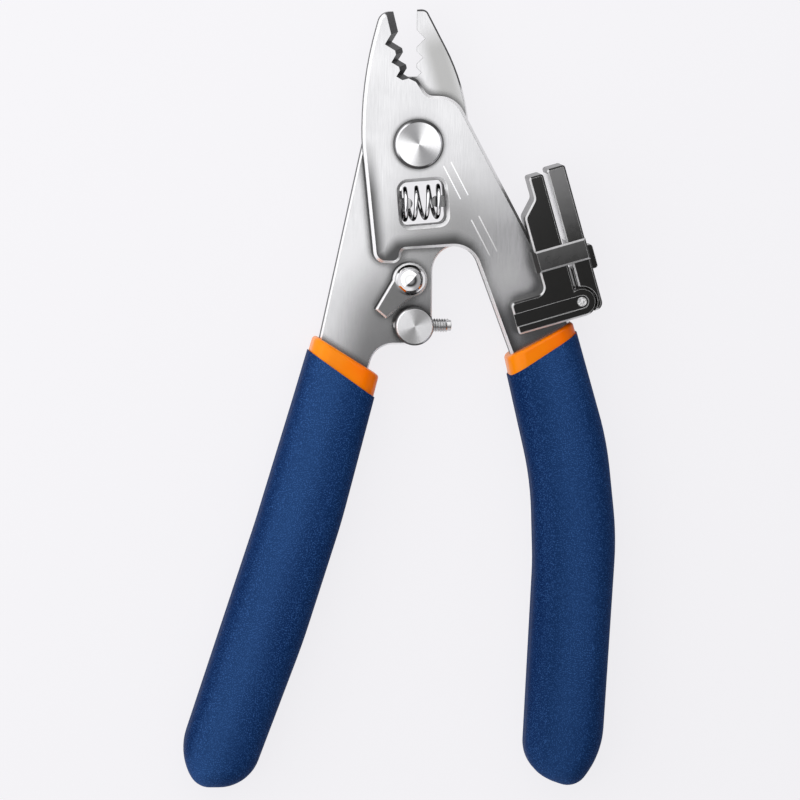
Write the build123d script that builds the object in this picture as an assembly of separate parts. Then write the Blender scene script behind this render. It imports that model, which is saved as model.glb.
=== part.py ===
from build123d import *
import os

# Three-hole fibre stripper with a drop-cable slitter, in millimetres, lying on its back.
# X runs across the handles, Y towards the jaws and Z up out of the front side. Every shape is
# drawn about the pivot axis with Z = 0 midway between the two frames. At the end the assembly
# moves so that the origin is under the middle of its box. The handles are drawn sprung open.

# Frames
PLATE = 3.0                 # thickness of each steel frame
PLATE_GAP = 0.1             # running gap between the two frames
FRONT_CHAMFER = 0.6         # ground edge round the front of each frame
REAR_CHAMFER = 0.35
CLOSING_ANGLE = 14.0        # degrees from sprung open to closed
FIT = 0.04                  # radial clearance of running pins
SEAT_FIT = 0.02             # radial clearance of fixed pins and threads

# Jaws
JAW_REACH = 28.5            # pivot axis to the tip of the jaws
JAW_STEP = 0.4              # front jaw's tip below the rear jaw's
SHEAR_LINE = 0.73           # X of the line where the closed edges meet
JAW_OVERLAP = 0.9           # how far each closed edge passes that line
EDGE_LAND = 0.3             # flat part of the cutting edge
BEVEL_SET_BACK = 1.8        # how far the ground bevel runs back over the plate
NOTCHES = (                 # share of the jaw's reach, width of the closed hole
    (0.784, 1.8),
    (0.642, 0.9),
    (0.530, 0.25),
)
JAW_ROOT = 0.48 * JAW_REACH
FRONT_JAW_BACK = -11.95     # X of the back of each jaw below its taper
FRONT_JAW_TAPER = 0.135 * JAW_REACH
REAR_JAW_BACK = 9.81
REAR_JAW_TAPER = 0.278 * JAW_REACH

# Stop post and stop screw
STOP_X = -0.63
STOP_Y = -38.85
STOP_RADIUS = 4.1
STOP_HEIGHT = 4.9           # above the rear frame
STOP_CHAMFER = 0.35
STOP_MARGIN = 0.1           # rear frame round the post
STOP_TENON_RADIUS = 2.2
STOP_TAIL_RADIUS = 3.0
STOP_TAIL_HEIGHT = 0.6
STOP_SCREW_RADIUS = 1.5
STOP_SCREW_RISE = 1.6       # screw axis above the rear frame
STOP_CLEARANCE = 0.25       # screw tip to the front frame when the handles are closed
STOP_SCREW_IN = 3.6         # post axis to the socket end
STOP_SCREW_POINT = 0.5      # chamfer of the tip

# Handles: corners of an outline are X, Y and the radius of the corner
HANDLE_REACH = 138.0        # pivot axis to the end of the grips
HANDLE_MIDDLE = -0.587 * HANDLE_REACH
HANDLE_BEND = 0.5 * HANDLE_REACH     # radius of the handles' tighter bends
HANDLE_SWEEP = 1.087 * HANDLE_REACH  # radius of their long sweeps
TANG_INSET = 18.0           # end of the steel tang inside the end of the grip
TANG_END = -HANDLE_REACH + TANG_INSET
TANG_CROTCH = (11.5, -21.6)  # ends of the straight inner edge of the front frame's tang
TANG_BEND = (23.3, -0.384 * HANDLE_REACH)
FRONT_OUTLINE = (
    (FRONT_JAW_BACK + FRONT_JAW_TAPER, JAW_REACH - JAW_STEP, 2.6),
    (FRONT_JAW_BACK, 0.505 * JAW_REACH, 2.8 * JAW_REACH),
    (FRONT_JAW_BACK, 0.5, 40.0),
    (-9.15, -25.5, 2.6),
    (-3.7, -25.5, 1.9),
    (-3.3, -22.6, 1.0),
    (*TANG_CROTCH, 5.5),
    (*TANG_BEND, HANDLE_BEND),
    (27.5, -0.522 * HANDLE_REACH, HANDLE_BEND),
    (28.4, -0.652 * HANDLE_REACH, HANDLE_BEND),
    (27.7, TANG_END, 4.0),
    (38.9, TANG_END, 4.0),
    (40.0, -0.623 * HANDLE_REACH, HANDLE_BEND),
    (38.3, -0.478 * HANDLE_REACH, HANDLE_BEND),
    (32.44, -35.5, 40.0),
    (7.96, 10.2, 6.0),
    (2.0, 10.3, 2.2),
    (-0.2, JAW_ROOT, 0.9),
    (-1.9, JAW_ROOT + 0.8, 0.0),
    (-2.0, JAW_REACH - JAW_STEP, 0.0),
)
REAR_OUTLINE = (
    (REAR_JAW_BACK - REAR_JAW_TAPER, JAW_REACH, 1.4),
    (-2.2, JAW_REACH, 0.0),
    (-1.9, JAW_ROOT, 1.0),
    (-9.9, 7.6, 7.0),
    (-22.6, -0.375 * HANDLE_REACH, HANDLE_BEND),
    (-30.4, HANDLE_MIDDLE, HANDLE_SWEEP),
    (-42.3, TANG_END, 3.5),
    (-33.0, TANG_END - 2.5, 3.5),
    (-19.2, HANDLE_MIDDLE, HANDLE_SWEEP),
    (-8.6, STOP_Y - STOP_RADIUS - STOP_MARGIN, 5.0),
    (STOP_X + STOP_RADIUS + STOP_MARGIN, STOP_Y - STOP_RADIUS - STOP_MARGIN, STOP_RADIUS),
    (STOP_X + STOP_RADIUS + STOP_MARGIN, -21.9, 5.4),
    (10.3, -21.9, 1.2),
    (11.4, 2.0, 20.0),
    (REAR_JAW_BACK, 0.474 * JAW_REACH, 1.58 * JAW_REACH),
)

# Pivot
PIVOT_RADIUS = 3.0
PIVOT_HEAD_RADIUS = 5.3
PIVOT_HEAD_HEIGHT = 1.4
PIVOT_HEAD_CHAMFER = 0.6
PIVOT_NUT_RADIUS = 4.6
PIVOT_NUT_HEIGHT = 1.6
PIVOT_THREAD_RADIUS = 2.2

# Spring window and return spring
WINDOW_X = 1.17
WINDOW_Y = -12.65
WINDOW_TURN = 5.0           # degrees, right end up
WINDOW_WIDTH = 9.6
WINDOW_HEIGHT = 9.4
WINDOW_CORNER = 1.7
WINDOW_CHAMFER = 0.7        # wider ground edge round the window's front
TONGUE_LENGTH = 2.8         # spring seat that stands into each end of the coil
TONGUE_WIDTH = 2.4
TONGUE_THICKNESS = 1.6
SPRING_DIAMETER = 7.6       # outside the coil
SPRING_WIRE = 0.9
SPRING_TURNS = 4.5
SPRING_CLEARANCE = 0.1      # at each end of the window

# Lock lever
LOCK_X = -1.5
LOCK_Y = -29.1
LOCK_TURN = -130.5          # degrees, direction of the arm
LOCK_EYE_RADIUS = 3.7
LOCK_ARM_LENGTH = 9.55
LOCK_ARM_ROOT = 6.4         # width of the arm at the eye
LOCK_ARM_END = 3.0          # width of the arm at its end
LOCK_THICKNESS = 2.2
LOCK_CHAMFER = 0.4
LOCK_WASHER_RADIUS = 3.3
LOCK_WASHER_HEIGHT = 0.4
LOCK_RIVET_RADIUS = 1.6
LOCK_DOME_RADIUS = 3.3
LOCK_DOME_HEIGHT = 2.5
LOCK_TAIL_RADIUS = 2.8
LOCK_TAIL_HEIGHT = 0.7
LOCK_PLAY = 0.05            # between lever and dome

# Grips
GRIP_THICKNESS = 13.0
GRIP_ROUND = 4.4            # rounding of the grip's long edges
COLLAR_INSET = 0.3          # collar below the sleeve's surface
CORE_WALL = 0.8             # orange layer between tang and sleeve
COLLAR_ROUND = 0.8          # rim of the collar
LEFT_GRIP_OUTLINE = (
    (-20.0, -34.0, 0.0),
    (-26.2, -0.4 * HANDLE_REACH, HANDLE_BEND),
    (-33.9, HANDLE_MIDDLE, HANDLE_SWEEP),
    (-50.0, -HANDLE_REACH + 7.5, 13.0),
    (-46.8, -HANDLE_REACH, 4.6),
    (-35.5, -HANDLE_REACH, 9.0),
    (-23.9, -0.774 * HANDLE_REACH, HANDLE_SWEEP),
    (-15.8, HANDLE_MIDDLE, HANDLE_SWEEP),
    (-4.0, -35.0, 0.0),
)
RIGHT_GRIP_OUTLINE = (
    (17.0, -36.9, 0.0),
    (25.3, -0.525 * HANDLE_REACH, HANDLE_BEND),
    (25.9, -0.652 * HANDLE_REACH, HANDLE_BEND),
    (23.9, -HANDLE_REACH + 4.2, 8.5),
    (29.8, -HANDLE_REACH + 1.0, 10.0),
    (35.1, -HANDLE_REACH - 0.8, 4.6),
    (40.8, -HANDLE_REACH + 6.8, 19.0),
    (43.45, -0.609 * HANDLE_REACH, HANDLE_BEND),
    (41.2, -0.460 * HANDLE_REACH, HANDLE_BEND),
    (33.0, -35.6, 0.0),
)
LEFT_COLLAR_TOP = ((-22.0, -40.8), (-8.3, -49.4))
LEFT_SLEEVE_TOP = ((-23.3, -44.0), (-9.1, -54.1))
RIGHT_COLLAR_TOP = ((19.3, -45.7), (34.7, -38.4))
RIGHT_SLEEVE_TOP = ((20.1, -49.6), (35.2, -41.0))

# Slitter, drawn about its hinge pin with U across the handle and V along the cable slot
SLITTER_X = 35.0
SLITTER_Y = -33.4
SLITTER_TURN = 16.0         # degrees
SLITTER_RISE = 4.2          # above the front frame
SLITTER_DROP = 1.2          # below the middle plane, beside the tang
SLITTER_CLEARANCE = 0.15    # body to the edge of the tang
SLITTER_CHAMFER = 0.35
SLITTER_CORNER = 0.6        # small outer corners
SLITTER_TOP = 28.7
SLOT_LEFT = -0.85           # cable slot between body and bar
SLOT_WIDTH = 1.0
SLOT_FILLET = 2.2           # slot into the hinge ear
BAR_WIDTH = 4.0
BAR_TOP = 29.3
BAR_BOTTOM = -2.6
BAR_HEEL = 1.6              # rounding of the bar's lower end
EAR_RADIUS = 3.1
EAR_THICKNESS = 2.4
EAR_CLEARANCE = 0.25
HINGE_GAP = 0.2
KNUCKLE_RADIUS = 2.8
KNUCKLE_SLOT = 0.5          # body clear of the turning knuckle
WEB_TOP = 7.4               # web of the knuckle up the bar's inner face, under the cable
PIN_RADIUS = 0.95
FOOT_LEFT = -14.9
FOOT_TOP = 3.9
FOOT_FILLET = 1.8           # foot into the body
FOOT_CORNER = 1.0
BODY_LEFT = -7.1
NECK_LEFT = -4.0
NECK_BOTTOM = 23.9
SHOULDER = 20.6
SHOULDER_ROUND = 1.5
GROOVE_WIDTH = 2.8          # groove in the foot's face, level with the pin
GROOVE_DEPTH = 0.6
TAB_OUT = 1.35              # thumb tab on the bar
TAB_LOW = 6.0
TAB_HIGH = 11.2
TAB_THICKNESS = 4.0
GUARD_LOW = 8.5
GUARD_HIGH = 13.1
GUARD_THICKNESS = 1.0
GUARD_LEG = 0.65
GUARD_BEVEL = 0.9           # wide bevel of its edge over the leg
GUARD_CLEARANCE = 0.15      # guard to the bar that swings under it
BLADE_THICKNESS = 0.4
BLADE_WIDTH = 3.2
BLADE_HEIGHT = 5.0
BLADE_REACH = 0.35          # blade into the slot
BLADE_BEVEL = 0.5
LINER_THICKNESS = 0.4
LINER_MARGIN = 0.4          # liner to the ends of the bar
SLITTER_SCREW_RADIUS = 1.25
SLITTER_SCREW_DEPTH = 3.0   # into the foot
SLITTER_SCREW_HEAD = 2.1
SLITTER_SCREW_HEAD_HEIGHT = 1.1
SLITTER_SCREW_U = (-12.3, -6.8)
SLITTER_SCREW_V = 0.35

# Heights of the faces
FRONT_BACK = PLATE_GAP / 2
FRONT_FACE = FRONT_BACK + PLATE
REAR_FACE = -PLATE_GAP / 2
REAR_BACK = REAR_FACE - PLATE
SLITTER_FRONT = FRONT_FACE + SLITTER_RISE
SLITTER_BACK = -SLITTER_DROP
SLITTER_PLACE = Location((SLITTER_X, SLITTER_Y, 0), (0, 0, SLITTER_TURN))
WINDOW_PLACE = Location((WINDOW_X, WINDOW_Y, 0), (0, 0, WINDOW_TURN))
FAR = 60.0                  # reach of cutting blocks past the part
PAST = 2.0                  # how far a cut runs past the face it opens
NEAR = 1e-4                 # how close to a height an edge counts as lying there


def outline_face(corners):
    """Flat face from corners of X, Y and radius."""
    points = [(x, y) for x, y, radius in corners]
    radii = [radius for x, y, radius in corners]
    return make_face(FilletPolyline(*points, radius=radii, close=True))


def prism(face, low, high):
    """Face pushed straight up from one height to another."""
    return extrude(Location((0, 0, low)) * face, high - low, dir=(0, 0, 1))


def disc(x, y, radius, low, high):
    """Upright cylinder between two heights."""
    return Location((x, y, low)) * Cylinder(radius, high - low, align=(Align.CENTER, Align.CENTER, Align.MIN))


def block(u, v, z):
    """Box between two U values, two V values and two heights."""
    return Location((u[0], v[0], z[0])) * Box(u[1] - u[0], v[1] - v[0], z[1] - z[0], align=Align.MIN)


def rim(part, height):
    """Edges that lie flat at one height."""
    return part.edges().filter_by_position(Axis.Z, height - NEAR, height + NEAR)


def across(line):
    """Direction square to a line that runs from left to right, pointing to the jaws."""
    return (Vector(*line[1]) - Vector(*line[0])).normalized().rotate(Axis.Z, 90)


def under(line):
    """Block that fills the whole space on the handle's side of a line."""
    middle = (Vector(*line[0]) + Vector(*line[1])) / 2
    edge = Plane(middle, x_dir=across(line).rotate(Axis.Z, -90), z_dir=(0, 0, 1))
    return edge * Box(4 * FAR, 4 * FAR, 2 * FAR, align=(Align.CENTER, Align.MAX, Align.CENTER))


def notch_line(side):
    """Zigzag of one closed cutting edge from the tip to its root: side is 1 left, -1 right of it."""
    edge = SHEAR_LINE + side * JAW_OVERLAP
    points = [(edge, JAW_REACH + PAST)]
    for share, hole in NOTCHES:
        height = share * JAW_REACH
        depth = JAW_OVERLAP + hole / 2
        points += [(edge, height + depth), (SHEAR_LINE - side * hole / 2, height), (edge, height - depth)]
    return points


def jaw_cut(side, land_height, face_height):
    """What grinding takes off a jaw: straight through the land, then slanting back as a bevel."""
    zigzag = notch_line(side)
    root_x, root_y = zigzag[-1]
    clear = side * FAR / 2
    region = make_face(Polyline(*zigzag, (root_x + clear, root_y), (root_x + clear, JAW_REACH + PAST), close=True))
    slope = Vector(-side * BEVEL_SET_BACK, 0, face_height - land_height)
    land = prism(region, min(0, land_height), max(0, land_height))
    bevel = extrude(Location((0, 0, land_height)) * region, slope.length + PAST, dir=slope)
    return land + bevel


def window_cut():
    """Rounded window for the spring through both frames."""
    return WINDOW_PLACE * prism(RectangleRounded(WINDOW_WIDTH, WINDOW_HEIGHT, WINDOW_CORNER), -FAR, FAR)


def tongue(end, low, high):
    """Spring seat at one end of the window: -1 left, 1 right."""
    root = end * WINDOW_WIDTH / 2
    flag = SlotCenterToCenter(2 * (TONGUE_LENGTH - TONGUE_WIDTH / 2), TONGUE_WIDTH)
    whole = prism(Location((root, 0, 0)) * flag, low, high)
    return WINDOW_PLACE * whole & window_cut()


def front_frame():
    plate = prism(outline_face(FRONT_OUTLINE), FRONT_BACK, FRONT_FACE)
    plate = chamfer(rim(plate, FRONT_FACE), FRONT_CHAMFER) - window_cut()
    face = plate.faces().sort_by(Axis.Z)[-1]
    plate = chamfer(face.inner_wires()[0].edges(), WINDOW_CHAMFER)
    opened = Location((0, 0, 0), (0, 0, CLOSING_ANGLE))
    plate -= opened * jaw_cut(1, FRONT_BACK + EDGE_LAND, FRONT_FACE)
    plate -= disc(0, 0, PIVOT_RADIUS + FIT, FRONT_BACK, FRONT_FACE)
    plate += tongue(1, FRONT_BACK, FRONT_BACK + TONGUE_THICKNESS)
    for u in SLITTER_SCREW_U:
        hole = disc(u, SLITTER_SCREW_V, SLITTER_SCREW_RADIUS + SEAT_FIT, FRONT_BACK, FRONT_FACE)
        plate -= SLITTER_PLACE * hole
    return plate


def rear_frame():
    plate = prism(outline_face(REAR_OUTLINE), REAR_BACK, REAR_FACE) - window_cut()
    plate = chamfer(rim(plate, REAR_FACE), REAR_CHAMFER)
    plate -= jaw_cut(-1, REAR_FACE - EDGE_LAND, REAR_BACK)
    plate -= disc(0, 0, PIVOT_RADIUS + SEAT_FIT, REAR_BACK, REAR_FACE)
    plate += tongue(-1, REAR_FACE - TONGUE_THICKNESS, REAR_FACE)
    plate -= disc(LOCK_X, LOCK_Y, LOCK_RIVET_RADIUS + SEAT_FIT, REAR_BACK, REAR_FACE)
    plate -= disc(STOP_X, STOP_Y, STOP_TENON_RADIUS + SEAT_FIT, REAR_BACK, REAR_FACE)
    return plate


def pivot_screw():
    head_low = FRONT_FACE + PLATE_GAP / 2
    head_high = head_low + PIVOT_HEAD_HEIGHT
    head = disc(0, 0, PIVOT_HEAD_RADIUS, head_low, head_high)
    head = chamfer(rim(head, head_high), PIVOT_HEAD_CHAMFER)
    shank = disc(0, 0, PIVOT_RADIUS, REAR_BACK, head_low)
    thread = disc(0, 0, PIVOT_THREAD_RADIUS, REAR_BACK - PIVOT_NUT_HEIGHT, REAR_BACK)
    return head + shank + thread


def pivot_nut():
    low = REAR_BACK - PIVOT_NUT_HEIGHT
    nut = disc(0, 0, PIVOT_NUT_RADIUS, low, REAR_BACK)
    nut = chamfer(rim(nut, low), PIVOT_HEAD_CHAMFER)
    return nut - disc(0, 0, PIVOT_THREAD_RADIUS + SEAT_FIT, low, REAR_BACK)


def return_spring():
    length = WINDOW_WIDTH - 2 * SPRING_CLEARANCE - SPRING_WIRE
    coil_radius = (SPRING_DIAMETER - SPRING_WIRE) / 2
    coil = Helix(length / SPRING_TURNS, length, coil_radius, center=(-length / 2, 0, 0), direction=(1, 0, 0))
    section = Plane(coil @ 0, z_dir=coil % 0) * Circle(SPRING_WIRE / 2)
    return WINDOW_PLACE * sweep(section, coil, is_frenet=True)


def lock_washer():
    low, high = REAR_FACE, REAR_FACE + LOCK_WASHER_HEIGHT
    ring = disc(LOCK_X, LOCK_Y, LOCK_WASHER_RADIUS, low, high)
    return ring - disc(LOCK_X, LOCK_Y, LOCK_RIVET_RADIUS + SEAT_FIT, low, high)


def lock_lever():
    low = REAR_FACE + LOCK_WASHER_HEIGHT
    high = low + LOCK_THICKNESS
    root, end = LOCK_ARM_ROOT / 2, LOCK_ARM_END / 2
    arm = Polygon((0, -root), (LOCK_ARM_LENGTH, -end), (LOCK_ARM_LENGTH, end), (0, root), align=None)
    lever = prism(Circle(LOCK_EYE_RADIUS) + arm, low, high)
    lever = chamfer(rim(lever, high), LOCK_CHAMFER)
    lever -= disc(0, 0, LOCK_RIVET_RADIUS + FIT, low, high)
    return Location((LOCK_X, LOCK_Y, 0), (0, 0, LOCK_TURN)) * lever


def lock_rivet():
    seat = REAR_FACE + LOCK_WASHER_HEIGHT + LOCK_THICKNESS + LOCK_PLAY
    ball = (LOCK_DOME_RADIUS ** 2 + LOCK_DOME_HEIGHT ** 2) / (2 * LOCK_DOME_HEIGHT)
    dome = Location((LOCK_X, LOCK_Y, seat + LOCK_DOME_HEIGHT - ball)) * Sphere(ball)
    dome &= disc(LOCK_X, LOCK_Y, 2 * ball, seat, seat + LOCK_DOME_HEIGHT)
    shank = disc(LOCK_X, LOCK_Y, LOCK_RIVET_RADIUS, REAR_BACK, seat)
    tail = disc(LOCK_X, LOCK_Y, LOCK_TAIL_RADIUS, REAR_BACK - LOCK_TAIL_HEIGHT, REAR_BACK)
    return dome + shank + tail


def stop_post():
    top = REAR_FACE + STOP_HEIGHT
    post = disc(STOP_X, STOP_Y, STOP_RADIUS, REAR_FACE, top)
    post = chamfer(rim(post, top), STOP_CHAMFER)
    post += disc(STOP_X, STOP_Y, STOP_TENON_RADIUS, REAR_BACK, REAR_FACE)
    post += disc(STOP_X, STOP_Y, STOP_TAIL_RADIUS, REAR_BACK - STOP_TAIL_HEIGHT, REAR_BACK)
    bore = Cylinder(STOP_SCREW_RADIUS + FIT, 2 * STOP_RADIUS, rotation=(0, 90, 0))
    return post - Location((STOP_X, STOP_Y, REAR_FACE + STOP_SCREW_RISE)) * bore


def stop_screw():
    crotch = Vector(*TANG_CROTCH).rotate(Axis.Z, -CLOSING_ANGLE)
    along = Vector(*TANG_BEND).rotate(Axis.Z, -CLOSING_ANGLE) - crotch
    closed_edge = crotch.X + along.X * (STOP_Y - crotch.Y) / along.Y
    length = STOP_SCREW_IN + closed_edge - STOP_CLEARANCE - STOP_X
    screw = Cylinder(STOP_SCREW_RADIUS, length, align=(Align.CENTER, Align.CENTER, Align.MIN))
    screw = chamfer(rim(screw, length), STOP_SCREW_POINT)
    place = Location((STOP_X - STOP_SCREW_IN, STOP_Y, REAR_FACE + STOP_SCREW_RISE), (0, 90, 0))
    return place * screw


def grip_form(face, inset):
    """Rounded bar with the outline of a grip, open at its jaw end."""
    half = GRIP_THICKNESS / 2 - inset
    form = prism(face, -half, half)
    long_edges = rim(form, half) + rim(form, -half)
    return fillet(long_edges.sort_by(Axis.Y)[:-2], GRIP_ROUND - inset)


def grip(corners, plate, plate_outline, plate_low, collar_top, sleeve_top):
    """Collar with its layer round the tang, and the sleeve over that layer."""
    layer = offset(outline_face(plate_outline), CORE_WALL)
    layer = prism(layer, plate_low - CORE_WALL, plate_low + PLATE + CORE_WALL) & under(sleeve_top)
    sleeve = (grip_form(outline_face(corners), 0) & under(sleeve_top)) - layer
    stub = Polygon(*[corners[i][:2] for i in (0, 1, -2, -1)], align=None)
    stub = offset(stub, -COLLAR_INSET, kind=Kind.INTERSECTION)
    collar = (grip_form(stub, COLLAR_INSET) & under(collar_top)) - under(sleeve_top)
    collar = fillet(collar.faces().sort_by(Axis((0, 0, 0), across(collar_top)))[-1].edges(), COLLAR_ROUND)
    collar = collar + layer - plate
    return collar, sleeve


def slitter_body(plate_outline):
    hinge = (SLITTER_BACK + EAR_THICKNESS, SLITTER_FRONT - EAR_THICKNESS)
    floor = SLITTER_FRONT - GROOVE_DEPTH
    corners = (
        (NECK_LEFT, SLITTER_TOP, SLITTER_CORNER),
        (NECK_LEFT, NECK_BOTTOM, SHOULDER_ROUND),
        (BODY_LEFT, SHOULDER, SHOULDER_ROUND),
        (BODY_LEFT, FOOT_TOP, FOOT_FILLET),
        (FOOT_LEFT, FOOT_TOP, FOOT_CORNER),
        (FOOT_LEFT, -EAR_RADIUS, SLITTER_CORNER),
        (SLOT_LEFT, -EAR_RADIUS, 0),
        (SLOT_LEFT, SLITTER_TOP, SLITTER_CORNER),
    )
    outline = outline_face(corners) + Circle(EAR_RADIUS)
    outline += Pos(SLOT_LEFT / 2, -EAR_RADIUS / 2) * Rectangle(-SLOT_LEFT, EAR_RADIUS)
    crotch = outline.vertices().filter_by_position(Axis.X, SLOT_LEFT - NEAR, SLOT_LEFT + NEAR).sort_by(Axis.Y)[0]
    outline = fillet(crotch, SLOT_FILLET)
    body = prism(outline, SLITTER_BACK, SLITTER_FRONT)
    body = chamfer(rim(body, SLITTER_FRONT), SLITTER_CHAMFER)
    body -= disc(0, 0, KNUCKLE_RADIUS + KNUCKLE_SLOT, *hinge)
    body -= block((SLOT_LEFT, FAR), (-EAR_RADIUS - PAST, EAR_RADIUS + SLOT_FILLET), hinge)
    body -= block((FOOT_LEFT - PAST, 0), (-GROOVE_WIDTH / 2, GROOVE_WIDTH / 2), (floor, FAR))
    body -= disc(0, 0, GROOVE_WIDTH / 2, floor, FAR)
    body -= disc(0, 0, PIN_RADIUS + SEAT_FIT, SLITTER_BACK, SLITTER_FRONT)
    for u in SLITTER_SCREW_U:
        screw_top = FRONT_FACE + SLITTER_SCREW_DEPTH
        body -= disc(u, SLITTER_SCREW_V, SLITTER_SCREW_RADIUS + SEAT_FIT, FRONT_FACE, screw_top)
    body -= blade(-1)
    tang = offset(outline_face(plate_outline), SLITTER_CLEARANCE)
    return SLITTER_PLACE * body - prism(tang, SLITTER_BACK - PAST, FRONT_FACE)


def slitter_jaw():
    inner = SLOT_LEFT + SLOT_WIDTH
    outer = inner + BAR_WIDTH
    front = SLITTER_FRONT - GUARD_CLEARANCE
    hinge = (SLITTER_BACK + EAR_THICKNESS + HINGE_GAP, SLITTER_FRONT - EAR_THICKNESS - HINGE_GAP)
    corners = (
        (inner, BAR_TOP, SLITTER_CORNER),
        (inner, BAR_BOTTOM, SLITTER_CORNER),
        (outer, BAR_BOTTOM, BAR_HEEL),
        (outer, BAR_TOP, SLITTER_CORNER),
    )
    bar = prism(outline_face(corners), SLITTER_BACK, front)
    bar = chamfer(rim(bar, front), SLITTER_CHAMFER)
    middle = (SLITTER_BACK + front) / 2
    tab = RectangleRounded(2 * TAB_OUT, TAB_HIGH - TAB_LOW, SLITTER_CORNER)
    tab = Pos(outer, (TAB_LOW + TAB_HIGH) / 2) * tab
    bar += prism(tab, middle - TAB_THICKNESS / 2, middle + TAB_THICKNESS / 2)
    bar -= disc(0, 0, EAR_RADIUS + EAR_CLEARANCE, SLITTER_BACK, front)
    bar += disc(0, 0, KNUCKLE_RADIUS, *hinge)
    bar += block((0, EAR_RADIUS + 2 * EAR_CLEARANCE), (BAR_BOTTOM + SLITTER_CORNER, KNUCKLE_RADIUS), hinge)
    bar += block((SLOT_LEFT + KNUCKLE_SLOT, inner + SLITTER_CORNER), (0, WEB_TOP), hinge)
    bar -= disc(0, 0, PIN_RADIUS + FIT, *hinge)
    return bar - blade(1) - liner()


def blade(side):
    """Slitting blade under the guard: -1 in the body, 1 in the bar."""
    middle = SLOT_LEFT + SLOT_WIDTH / 2
    tip = middle + side * (SLOT_WIDTH / 2 - BLADE_REACH)
    half = BLADE_THICKNESS / 2
    shoulder = tip + side * BLADE_BEVEL
    back = tip + side * BLADE_WIDTH
    v = (GUARD_LOW + GUARD_HIGH) / 2
    corners = ((tip, v), (shoulder, v + half), (back, v + half), (back, v - half), (shoulder, v - half))
    centre = (SLITTER_BACK + SLITTER_FRONT) / 2
    return prism(make_face(Polyline(*corners, close=True)), centre - BLADE_HEIGHT / 2, centre + BLADE_HEIGHT / 2)


def liner():
    """Wear strip let into the bar's inner face above the guard."""
    inner = SLOT_LEFT + SLOT_WIDTH
    front = SLITTER_FRONT - GUARD_CLEARANCE - LINER_MARGIN
    return block(
        (inner, inner + LINER_THICKNESS),
        (GUARD_HIGH + LINER_MARGIN, BAR_TOP - SLITTER_CORNER - LINER_MARGIN),
        (SLITTER_BACK + LINER_MARGIN, front),
    )


def blade_guard():
    outer = SLOT_LEFT + SLOT_WIDTH + BAR_WIDTH
    top = SLITTER_FRONT + GUARD_THICKNESS
    band = block((BODY_LEFT - GUARD_LEG, outer), (GUARD_LOW, GUARD_HIGH), (SLITTER_FRONT, top))
    band = chamfer(rim(band, top).sort_by(Axis.X)[0], GUARD_BEVEL)
    band = chamfer(rim(band, top).sort_by(Axis.X)[1:], SLITTER_CHAMFER)
    leg = block((BODY_LEFT - GUARD_LEG, BODY_LEFT), (GUARD_LOW, GUARD_HIGH), (FRONT_FACE, SLITTER_FRONT))
    return band + leg


def slitter_pin():
    return disc(0, 0, PIN_RADIUS, SLITTER_BACK, SLITTER_FRONT - GROOVE_DEPTH / 2)


def slitter_screws():
    screws = []
    for u in SLITTER_SCREW_U:
        head_low = FRONT_BACK - SLITTER_SCREW_HEAD_HEIGHT
        head = disc(u, SLITTER_SCREW_V, SLITTER_SCREW_HEAD, head_low, FRONT_BACK)
        shank = disc(u, SLITTER_SCREW_V, SLITTER_SCREW_RADIUS, FRONT_BACK, FRONT_FACE + SLITTER_SCREW_DEPTH)
        screws.append(head + shank)
    return screws


def assemble():
    """All nodes by name, each a list of solids, about the pivot."""
    front = front_frame()
    rear = rear_frame()
    left_collar, left_sleeve = grip(
        LEFT_GRIP_OUTLINE, rear, REAR_OUTLINE, REAR_BACK, LEFT_COLLAR_TOP, LEFT_SLEEVE_TOP)
    right_collar, right_sleeve = grip(
        RIGHT_GRIP_OUTLINE, front, FRONT_OUTLINE, FRONT_BACK, RIGHT_COLLAR_TOP, RIGHT_SLEEVE_TOP)
    nodes = {
        "front_frame": [front],
        "rear_frame": [rear],
        "pivot_screw": [pivot_screw()],
        "pivot_nut": [pivot_nut()],
        "return_spring": [return_spring()],
        "lock_lever": [lock_lever()],
        "lock_washer": [lock_washer()],
        "lock_rivet": [lock_rivet()],
        "stop_post": [stop_post()],
        "stop_screw": [stop_screw()],
        "left_grip_collar": [left_collar],
        "left_grip_sleeve": [left_sleeve],
        "right_grip_collar": [right_collar],
        "right_grip_sleeve": [right_sleeve],
        "slitter_body": [slitter_body(FRONT_OUTLINE)],
    }
    in_slitter = {
        "slitter_jaw": [slitter_jaw()],
        "slitter_jaw_liner": [liner()],
        "slitter_jaw_blade": [blade(1)],
        "slitter_fixed_blade": [blade(-1)],
        "blade_guard": [blade_guard()],
        "slitter_pin": [slitter_pin()],
        "slitter_screws": slitter_screws(),
    }
    for name, pieces in in_slitter.items():
        nodes[name] = [SLITTER_PLACE * piece for piece in pieces]
    return nodes


def to_origin(nodes):
    """Move from the pivot to the bottom centre of the whole part's box."""
    whole = Compound([solid for pieces in nodes.values() for piece in pieces for solid in piece.solids()])
    box = whole.bounding_box()
    return Location((-box.center().X, -box.center().Y, -box.min.Z))


def main():
    nodes = assemble()
    origin = to_origin(nodes)
    os.makedirs("parts", exist_ok=True)
    for name, pieces in nodes.items():
        solids = [solid.moved(origin) for piece in pieces for solid in piece.solids()]
        export_step(solids[0] if len(solids) == 1 else Compound(solids), f"parts/{name}.step")
    print("pivot at", [round(value, 4) for value in origin.position])


if __name__ == "__main__":
    main()
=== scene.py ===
import math

import bpy
from mathutils import Matrix, Vector


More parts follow.
